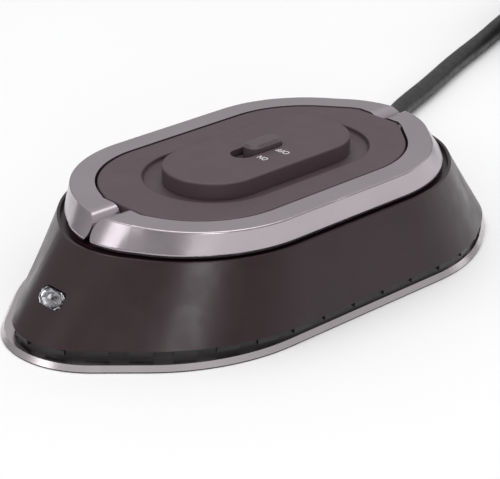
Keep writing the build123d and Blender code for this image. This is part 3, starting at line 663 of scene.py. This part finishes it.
@dataclass
class SwitchLabels:
    """White ON and OFF beside the slide switch, read from the tail end."""

    finishes: Finishes
    cap_height: float = 0.0022
    thickness: float = 0.00004
    on_length: float = 0.0034
    off_length: float = 0.0047
    on_place: tuple[float, float] = (-0.0017, -0.0069)
    off_place: tuple[float, float] = (0.0064, -0.0072)

    def word(self, text: str, length: float, place: tuple[float, float], height: float) -> None:
        """Prints one word on the island.

        Args:
            text: The word.
            length: Its length across the iron.
            place: The x and y of its middle.
            height: The height of the surface that it is printed on.
        """
        curve = bpy.data.curves.new(f"text_{text}", "FONT")
        curve.body, curve.resolution_u = text, 6
        carrier = bpy.data.objects.new(f"text_{text}", curve)
        mesh = bpy.data.meshes.new_from_object(carrier)
        bpy.data.objects.remove(carrier)
        xs, ys = [v.co.x for v in mesh.vertices], [v.co.y for v in mesh.vertices]
        wide, tall = max(xs) - min(xs), max(ys) - min(ys)
        middle = Matrix.Translation((-(max(xs) + min(xs)) / 2, -(max(ys) + min(ys)) / 2, 0))
        size = Matrix.Diagonal((length / wide, self.cap_height / tall, 1, 1))
        turn = Matrix.Rotation(math.pi / 2, 4, "Z")
        mesh.transform(Matrix.Translation((*place, height)) @ turn @ size @ middle)
        self.thicken(mesh)
        piece = new_piece(f"label_{text.lower()}", mesh, self.finishes.of(PRINT), Shading.CRISP)
        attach(piece, "casing")

    def thicken(self, mesh: bpy.types.Mesh) -> None:
        """Gives flat letters the thickness of the ink.

        Args:
            mesh: The letters, which lie flat.
        """
        build = bmesh.new()
        build.from_mesh(mesh)
        bmesh.ops.remove_doubles(build, verts=build.verts, dist=1e-7)
        bmesh.ops.recalc_face_normals(build, faces=build.faces)
        raised = bmesh.ops.extrude_face_region(build, geom=list(build.faces))
        tops = [v for v in raised["geom"] if isinstance(v, bmesh.types.BMVert)]
        bmesh.ops.translate(build, vec=(0, 0, self.thickness), verts=tops)
        bmesh.ops.recalc_face_normals(build, faces=build.faces)
        build.to_mesh(mesh)
        build.free()

    def build(self) -> None:
        """Prints both words on top of the island."""
        _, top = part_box("deck_panel")
        self.word("ON", self.on_length, self.on_place, top.z)
        self.word("OFF", self.off_length, self.off_place, top.z)
        log.info("printed the switch labels")


# ---- cord ----------------------------------------------------------------------------------------
@dataclass
class Coil:
    """Turns of the stored cord, wound clockwise from the outside in, then up and out again."""

    centre: tuple[float, float] = (0.2782, 0.0613)
    radius: float = 0.040        # of the middle column
    pitch: float = 0.0072
    start: float = 110.8         # degrees, where the cord runs in
    points_per_turn: int = 16
    jog: float = 112.5           # degrees of turn in which a strand moves to the next place
    dive: float = 0.0032         # how far the strand that climbs swings inwards
    swing: float = 0.0065        # how far the last strand swings outwards as it climbs on top
    lift: float = 0.0015

    def seats(self) -> list[tuple[float, float]]:
        """The radius and height of each turn in the order that they are wound."""
        low, high = self.pitch / 2, self.pitch * 1.5
        wide, slim = self.radius + self.pitch, self.radius - self.pitch
        groove = (self.radius + 0.47 * self.pitch, high + 0.945 * self.pitch)
        return [(wide, low), (self.radius, low), (slim, low), (slim, high), (self.radius, high),
                (wide, high), groove]

    def seat(self, angle: float) -> tuple[float, float]:
        """Where the strand lies after an angle of winding.

        Args:
            angle: How far it is wound, in degrees.

        Returns:
            Its radius and height.
        """
        seats = self.seats()
        turn, part = int(angle // 360), angle % 360
        radius, height = seats[turn]
        if turn == len(seats) - 1 or part <= 360 - self.jog:
            return radius, height
        share = (part - 360 + self.jog) / self.jog
        eased, hump = share * share * (3 - 2 * share), math.sin(math.pi * share) ** 2
        radius += (seats[turn + 1][0] - radius) * eased
        height += (seats[turn + 1][1] - height) * eased
        if turn == 2:
            radius -= self.dive * hump
        if turn == 5:
            radius += self.swing * hump
            height += self.lift * hump
        return radius, height

    def points(self) -> list[Vector]:
        """The control points of all turns.

        Returns:
            The points, from the first after the cord runs in to the last before it leaves.
        """
        step = 360 / self.points_per_turn
        grow = 1 / (0.75 + 0.25 * math.cos(math.radians(step)))   # the spline runs inside its points
        count = 6 * self.points_per_turn + round(self.start / step) - 2
        found = []
        for i in range(1, count + 1):
            radius, height = self.seat(i * step)
            turn = math.radians(self.start - i * step)
            found.append(Vector((self.centre[0] + radius * grow * math.cos(turn),
                                 self.centre[1] + radius * grow * math.sin(turn), height)))
        return found


@dataclass
class MainsCord:
    """Black mains cord with its bent sleeve, stored coil, tie and two-blade plug."""

    finishes: Finishes
    diameter: float = 0.0072
    length: float = 1.85
    sleeve_length: float = 0.034
    sleeve_root: float = 0.0054
    sleeve_tip: float = 0.0043
    rib_pitch: float = 0.0034
    rib_depth: float = 0.0007
    plain_root: float = 0.004    # of the sleeve, before its first groove
    plain_tip: float = 0.003
    tip_rounding: float = 0.001
    tip_drop: float = 0.0005
    gland_clearance: float = 0.0001
    gland_wall: float = 0.0056
    gland_flange: float = 0.0059
    gland_flange_length: float = 0.002
    gland_rounding: float = 0.0004
    gland_reach: float = 0.0012  # past the cord's exit
    gland_facets: int = 48
    coil: Coil = field(default_factory=Coil)
    route: tuple[Point, ...] = (
        (0.0805, 0.0, 0.0130), (0.0868, 0.0084, 0.0128), (0.0918, 0.0180, 0.0116),
        (0.0976, 0.0276, 0.0093), (0.1048, 0.0368, 0.0066), (0.1124, 0.0454, 0.0049),
        (0.1214, 0.0524, 0.0039), (0.1330, 0.0578, 0.0036), (0.1530, 0.0648, 0.0036),
        (0.1810, 0.0762, 0.0036), (0.2090, 0.0858, 0.0036), (0.2360, 0.0966, 0.0036),
        (0.2615, 0.1052, 0.0036))
    plug_route: tuple[Point, ...] = (
        (0.3215, 0.0800, 0.0177), (0.3270, 0.0685, 0.0178), (0.3304, 0.0570, 0.0166),
        (0.3312, 0.0455, 0.0138), (0.3294, 0.0340, 0.0107), (0.3270, 0.0220, 0.0080))

    def curve(self) -> bpy.types.Object:
        """The whole cord as one smooth spline.

        Returns:
            The cord's object.
        """
        points = [Vector(p) for p in self.route] + self.coil.points() + [Vector(p) for p in self.plug_route]
        data = bpy.data.curves.new("mains_cord", "CURVE")
        data.dimensions = "3D"
        spline = data.splines.new("NURBS")
        spline.points.add(len(points) - 1)
        for target, point in zip(spline.points, points):
            target.co = (*point, 1.0)
        spline.order_u = 3
        spline.use_endpoint_u = True
        data.resolution_u = 6
        data.bevel_depth = self.diameter / 2
        data.bevel_resolution = 5
        data.use_fill_caps = True
        data.materials.append(self.finishes.of(CORD_SHEATH))
        cord = bpy.data.objects.new("mains_cord", data)
        bpy.context.scene.collection.objects.link(cord)
        return cord

    @staticmethod
    def centreline(cord: bpy.types.Object) -> list[Vector]:
        """The middle of the cord, as its spline gives it.

        Args:
            cord: The cord's object.

        Returns:
            The points down its middle.
        """
        bare = bpy.data.objects.new("bare_line", cord.data.copy())
        bare.data.bevel_depth = 0.0
        bare.data.resolution_u = 16
        mesh = bpy.data.meshes.new_from_object(bare)
        line = [v.co.copy() for v in mesh.vertices]
        bpy.data.objects.remove(bare)
        bpy.data.meshes.remove(mesh)
        return line

    def sleeve_radius(self, at: float) -> float:
        """Outer radius of the sleeve at a distance from the casing, with its ring grooves.

        Args:
            at: The distance along the sleeve.

        Returns:
            The radius.
        """
        share = at / self.sleeve_length
        radius = self.sleeve_root + (self.sleeve_tip - self.sleeve_root) * share
        if not self.plain_root < at < self.sleeve_length - self.plain_tip:
            rounding = max(0.0, 1 - (self.sleeve_length - at) / self.tip_rounding)
            return radius - self.tip_drop * rounding ** 2
        groove = 0.5 - 0.5 * math.cos(2 * math.pi * (at - self.plain_root) / self.rib_pitch)
        return radius - self.rib_depth * groove ** 3

    def sleeve(self, line: Sequence[Vector]) -> bpy.types.Object:
        """Bent, tapered sleeve with ring grooves, where the cord leaves the casing.

        Args:
            line: The middle of the cord.

        Returns:
            The sleeve.
        """
        stations = along(line, 0.0, self.sleeve_length, 0.00035)
        mesh = swept("cord_sleeve", stations, lambda at: circle(self.sleeve_radius(at), 40))
        return new_piece("cord_sleeve", mesh, self.finishes.of(CORD_SHEATH), Shading.SOFT)

    def gland(self) -> bpy.types.Object:
        """Flanged bush that holds the sleeve in the tail wall.

        Returns:
            The bush.
        """
        low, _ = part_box("strain_relief")
        place = Vector(self.route[0])
        bore, wall = self.diameter / 2 + self.gland_clearance, self.gland_wall
        flange, rounding = self.gland_flange, self.gland_rounding
        start, stop = low.x - place.x, self.gland_reach
        step = start + self.gland_flange_length
        ring = [(start, bore), (start, flange - rounding), (start + rounding, flange),
                (step - rounding, flange), (step, wall), (stop - rounding, wall),
                (stop, wall - rounding), (stop, bore)]
        sections = []
        for turn in range(self.gland_facets):
            angle = 2 * math.pi * turn / self.gland_facets
            spoke = Vector((0, math.cos(angle), math.sin(angle)))
            sections.append([place + Vector((x, 0, 0)) + spoke * r for x, r in ring])
        return new_piece("cord_gland", loft("cord_gland", sections, closed=True),
                         self.finishes.of(BLACK_MOULDING), Shading.CRISP)

    def build(self) -> None:
        cord = self.curve()
        line = self.centreline(cord)
        sleeve, gland = self.sleeve(line), self.gland()
        tie = CableTie(self.finishes, self.coil).build()
        plug, blades = Plug(self.finishes, Vector(self.plug_route[-1]), line).build()
        for piece, nodes, slot in ((cord, ("cord", "cord_coil", "plug_cord"), "cord_black"),
                                   (sleeve, ("strain_relief",), "cord_black"), (gland, (), "cord_black"),
                                   (tie, ("cord_tie",), "cord_black"), (plug, ("plug_body",), "plug_black"),
                                   (blades, ("plug_blades",), "brass")):
            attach(piece, "casing")
            if nodes:
                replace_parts(piece, *nodes)
        log.info("cord spline has %d points down its middle", len(line))


@dataclass
class CableTie:
    """Hook-and-loop strap round the coil, with its free end lying over itself."""

    finishes: Finishes
    coil: Coil
    angle: float = 215.0         # degrees round the coil
    width: float = 0.012
    thickness: float = 0.0009
    corner: float = 0.0034
    overlap: float = 0.011

    def build(self) -> bpy.types.Object:
        """Makes the strap.

        Returns:
            The strap.
        """
        turn = math.radians(self.angle)
        outward = Vector((math.cos(turn), math.sin(turn), 0))
        sideways, up = Vector((-outward.y, outward.x, 0)), Vector((0, 0, 1))
        height, reach = 2 * self.coil.pitch, 3 * self.coil.pitch
        middle = Vector((*self.coil.centre, 0)) + outward * self.coil.radius
        middle += up * ((height + self.thickness) / 2)
        loop = rounded_box(reach + self.thickness, height, self.corner, 9)
        top = next(i for i, (x, y) in enumerate(loop) if x < 0 < y)
        line = loop[top:] + loop[:top]
        # the strap starts on top, goes once round, and its end lies on its start
        line.append((line[0][0] + 0.0002, line[0][1]))
        end_x, end_y = line[0]
        for k in range(1, 7):
            share = k / 6
            line.append((end_x + self.overlap * share, end_y + self.thickness * min(1.0, 3 * share)))
        sections = []
        for i, (x, y) in enumerate(line):
            ahead, behind = line[min(i + 1, len(line) - 1)], line[max(i - 1, 0)]
            tangent = Vector((ahead[0] - behind[0], ahead[1] - behind[1])).normalized()
            normal = outward * -tangent.y + up * tangent.x
            centre = middle + outward * x + up * y
            flat = rounded_box(self.width, self.thickness, self.thickness * 0.42, 4)
            sections.append(placed(flat, centre, sideways, normal))
        return new_piece("coil_tie", loft("coil_tie", sections), self.finishes.of(STRAP), Shading.CRISP)


@dataclass
class Plug:
    """Moulded two-blade plug with a ribbed neck and finger grips."""

    finishes: Finishes
    root: Vector
    line: Sequence[Vector]
    length: float = 0.036
    width: float = 0.024
    thickness: float = 0.016
    neck: float = 0.012
    blade_length: float = 0.017
    blade_width: float = 0.00635
    blade_thickness: float = 0.0015
    blade_spacing: float = 0.0127
    blade_hole: float = 0.0016
    blade_tip_cut: float = 0.0012
    blade_hole_inset: float = 0.0042
    blade_root: float = 0.004    # inside the body
    neck_radius: float = 0.0048
    neck_groove_pitch: float = 0.003
    neck_groove_depth: float = 0.0007
    shoulder_wide: float = 0.78  # of the full width, where the neck ends
    shoulder_tall: float = 0.80
    grip_depth: float = 0.0016
    front_rounding: float = 0.0012
    corner: float = 0.0042
    steps: int = 96

    def axes(self) -> tuple[Vector, Vector, Vector]:
        """The plug's own directions.

        Returns:
            Its forward, sideways and upward directions.
        """
        low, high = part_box("plug_blades")
        body_low, body_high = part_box("plug_body")
        tip, back = (low + high) / 2, (body_low + body_high) / 2
        forward = Vector((tip.x - back.x, tip.y - back.y, 0)).normalized()
        up = Vector((0, 0, 1))
        return forward, up.cross(forward).normalized(), up

    def body_section(self, at: float) -> list[tuple[float, float]]:
        """The outline of the plug's body at a distance from its neck's end.

        Args:
            at: The distance from the end of the neck.

        Returns:
            The section's points.
        """
        if at <= self.neck:
            share = at / self.neck
            eased = share ** 1.6
            ring = 0.5 - 0.5 * math.cos(2 * math.pi * at / self.neck_groove_pitch)
            groove = self.neck_groove_depth * ring ** 3 * (1 - share)
            thin = 2 * self.neck_radius
            wide = thin + (self.width * self.shoulder_wide - thin) * eased - 2 * groove
            tall = thin + (self.thickness * self.shoulder_tall - thin) * eased - 2 * groove
            radius = min(wide, tall) / 2 * (1 - 0.42 * eased)
            return rounded_box(wide, tall, radius * 0.999, 8)
        share = (at - self.neck) / (self.length - self.neck)
        wide = self.width * (self.shoulder_wide + (1 - self.shoulder_wide) * share ** 0.8)
        tall = self.thickness * (self.shoulder_tall + (1 - self.shoulder_tall) * share ** 0.8)
        grip = math.sin(math.pi * min(1.0, share / 0.8)) if share < 0.8 else 0.0
        wide -= self.grip_depth * grip * (1 + 0.35 * math.cos(2 * math.pi * share * 7))
        edge = max(0.0, (at - self.length + self.front_rounding) / self.front_rounding)
        shrink = self.front_rounding * (1 - math.sqrt(max(0.0, 1 - edge ** 2)))
        return rounded_box(wide - 2 * shrink, tall - 2 * shrink, self.corner, 8)

    def build(self) -> tuple[bpy.types.Object, bpy.types.Object]:
        """Makes the body and the blades.

        Returns:
            The body and the pair of blades.
        """
        forward, across, up = self.axes()
        sections = []
        for i in range(self.steps + 1):
            at = self.length * (1 - (1 - i / self.steps) ** 1.15)
            sections.append(placed(self.body_section(at), self.root + forward * at, across, up))
        body = new_piece("plug_moulding", loft("plug_moulding", sections),
                         self.finishes.of(PLUG_RUBBER), Shading.CRISP)
        blades = new_piece("plug_contacts", self.blade_mesh(forward, across, up),
                           self.finishes.of(BRASS), Shading.CRISP)
        log.info("plug ends %.1f mm from its neck", (self.length + self.blade_length) / MM)
        return body, blades

    def blade_mesh(self, forward: Vector, across: Vector, up: Vector) -> bpy.types.Mesh:
        """Both flat blades, each with its hole and a tapered tip.

        Args:
            forward: The direction that they point in.
            across: The direction from one to the other.
            up: The direction of their width.

        Returns:
            One mesh that holds both.
        """
        build = bmesh.new()
        root, tip = self.length - self.blade_root, self.length + self.blade_length
        half, cut = self.blade_width / 2, self.blade_tip_cut
        hole_at = tip - self.blade_hole_inset
        outer = [(root, -half), (tip - cut, -half), (tip, -half + cut * 1.3), (tip, half - cut * 1.3),
                 (tip - cut, half), (root, half)]
        for side in Side:
            middle = self.root + across * (side.value * self.blade_spacing / 2)
            faces = []
            for face_side in (-1, 1):
                lift = across * (face_side * self.blade_thickness / 2)
                rim = [build.verts.new(middle + forward * x + up * y + lift) for x, y in outer]
                hole = [build.verts.new(middle + forward * (hole_at + x) + up * y + lift)
                        for x, y in circle(self.blade_hole, 24)]
                faces.append((rim, hole))
            for a, b in zip(*faces):
                for i in range(len(a)):
                    j = (i + 1) % len(a)
                    build.faces.new((a[i], a[j], b[j], b[i]))
            for rim, hole in faces:
                edges = [build.edges.get((r[i], r[(i + 1) % len(r)]))
                         for r in (rim, hole) for i in range(len(r))]
                bmesh.ops.triangle_fill(build, use_beauty=True, use_dissolve=False, edges=edges)
        bmesh.ops.recalc_face_normals(build, faces=build.faces)
        mesh = bpy.data.meshes.new("plug_contacts")
        build.to_mesh(mesh)
        build.free()
        return mesh


# ---- studio --------------------------------------------------------------------------------------
@dataclass(frozen=True)
class SoftBox:
    """One large soft lamp that points at the iron."""

    name: str
    place: Point
    size: tuple[float, float]
    power: float
    colour: Colour = (1.0, 1.0, 1.0)
    aim: Point = (0.0, 0.0, 0.02)

    def build(self) -> None:
        """Hangs the lamp."""
        data = bpy.data.lights.new(self.name, "AREA")
        data.shape = "RECTANGLE"
        data.size, data.size_y = self.size
        data.energy, data.color = self.power, self.colour
        lamp = bpy.data.objects.new(self.name, data)
        lamp.location = self.place
        lamp.rotation_euler = (Vector(self.aim) - Vector(self.place)).to_track_quat("-Z", "Y").to_euler()
        bpy.context.scene.collection.objects.link(lamp)


@dataclass
class Studio:
    """Pale floor, soft lamps, a surround that brightens upwards, and the camera."""

    floor_size: float = 6.0
    floor_thickness: float = 0.002
    floor_colour: Colour = (0.93, 0.93, 0.935)
    surround: Colour = (1.0, 1.0, 1.0)
    surround_levels: tuple[tuple[float, float], ...] = (   # how far up, from 0 to 1, and how bright
        (0.50, 0.22), (0.60, 0.38), (0.68, 0.50), (0.80, 0.62))
    floor_drop: float = 0.00002  # keeps the floor clear of the ironing face
    lens: float = 139.9
    camera_place: Point = (-0.3743, -0.3987, 0.2590)
    camera_across: Point = (0.7295, -0.6840, 0.0)
    camera_up: Point = (0.2843, 0.3032, 0.9095)
    camera_back: Point = (-0.6220, -0.6635, 0.4156)
    lamps: tuple[SoftBox, ...] = (
        SoftBox("overhead", (0.05, 0.05, 1.40), (1.5, 1.5), 11.5),
        SoftBox("front_key", (-0.78, -1.12, 0.30), (0.45, 0.34), 3.0),
        SoftBox("nose_side", (-1.25, 0.35, 0.50), (0.5, 0.5), 1.6),
        SoftBox("tail_side", (1.25, -0.30, 0.45), (0.6, 0.4), 0.8),
    )

    def floor(self) -> None:
        """Lays the floor just under the ironing face."""
        half, low = self.floor_size / 2, -self.floor_thickness
        flat = [Vector((x, y, 0)) for x, y in ((-half, -half), (half, -half), (half, half), (-half, half))]
        mesh = loft("floor", [[p + Vector((0, 0, low)) for p in flat], flat])
        paper = Finish("pale_paper", self.floor_colour, roughness=0.75, mottle=0.004, mottle_size=0.2,
                       gloss_spread=0.02, grain_size=0.001, grain_depth=0.000004, specular=0.2)
        plate = new_piece("floor", mesh, paper.make(), Shading.CRISP)
        plate.location.z = -self.floor_drop

    def world(self) -> None:
        """Surrounds the scene with plain light that is dim at the horizon and brighter overhead."""
        world = bpy.data.worlds.new("studio")
        bpy.context.scene.world = world
        world.use_nodes = True
        tree = world.node_tree
        split = tree.nodes.new("ShaderNodeSeparateXYZ")
        tree.links.new(tree.nodes.new("ShaderNodeTexCoord").outputs["Generated"], split.inputs["Vector"])
        height = tree.nodes.new("ShaderNodeMapRange")
        height.inputs["From Min"].default_value = -1.0
        tree.links.new(split.outputs["Z"], height.inputs["Value"])
        ramp = tree.nodes.new("ShaderNodeValToRGB")
        while len(ramp.color_ramp.elements) < len(self.surround_levels):
            ramp.color_ramp.elements.new(0.5)
        for stop, (at, level) in zip(ramp.color_ramp.elements, self.surround_levels):
            stop.position, stop.color = at, (*shade(self.surround, level), 1.0)
        tree.links.new(height.outputs["Result"], ramp.inputs["Fac"])
        tree.links.new(ramp.outputs["Color"], tree.nodes["Background"].inputs["Color"])

    def camera(self) -> None:
        """Sets the camera up."""
        data = bpy.data.cameras.new("camera")
        data.sensor_width, data.lens = 36.0, self.lens
        data.clip_start, data.clip_end = 0.01, 20.0
        camera = bpy.data.objects.new("camera", data)
        axes = Matrix((self.camera_across, self.camera_up, self.camera_back)).transposed().to_4x4()
        camera.matrix_world = Matrix.Translation(self.camera_place) @ axes
        bpy.context.scene.collection.objects.link(camera)
        bpy.context.scene.camera = camera

    def build(self) -> None:
        """Sets the whole studio up."""
        self.floor()
        self.world()
        self.camera()
        for lamp in self.lamps:
            lamp.build()
        bpy.context.scene.view_settings.view_transform = "Standard"
        log.info("studio with %d lamps", len(self.lamps))


def main() -> None:
    """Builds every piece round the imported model."""
    logging.basicConfig(level=logging.INFO, format="%(name)s: %(message)s")
    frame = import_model()
    finishes = Finishes()
    Studio().build()
    MainsCord(finishes).build()
    CadPieces(frame["nodes"], finishes).dress()
    Jewel(finishes, frame["nodes"]["indicator_lens"]).build()
    SwitchLabels(finishes).build()


if __name__ == "__main__":
    main()
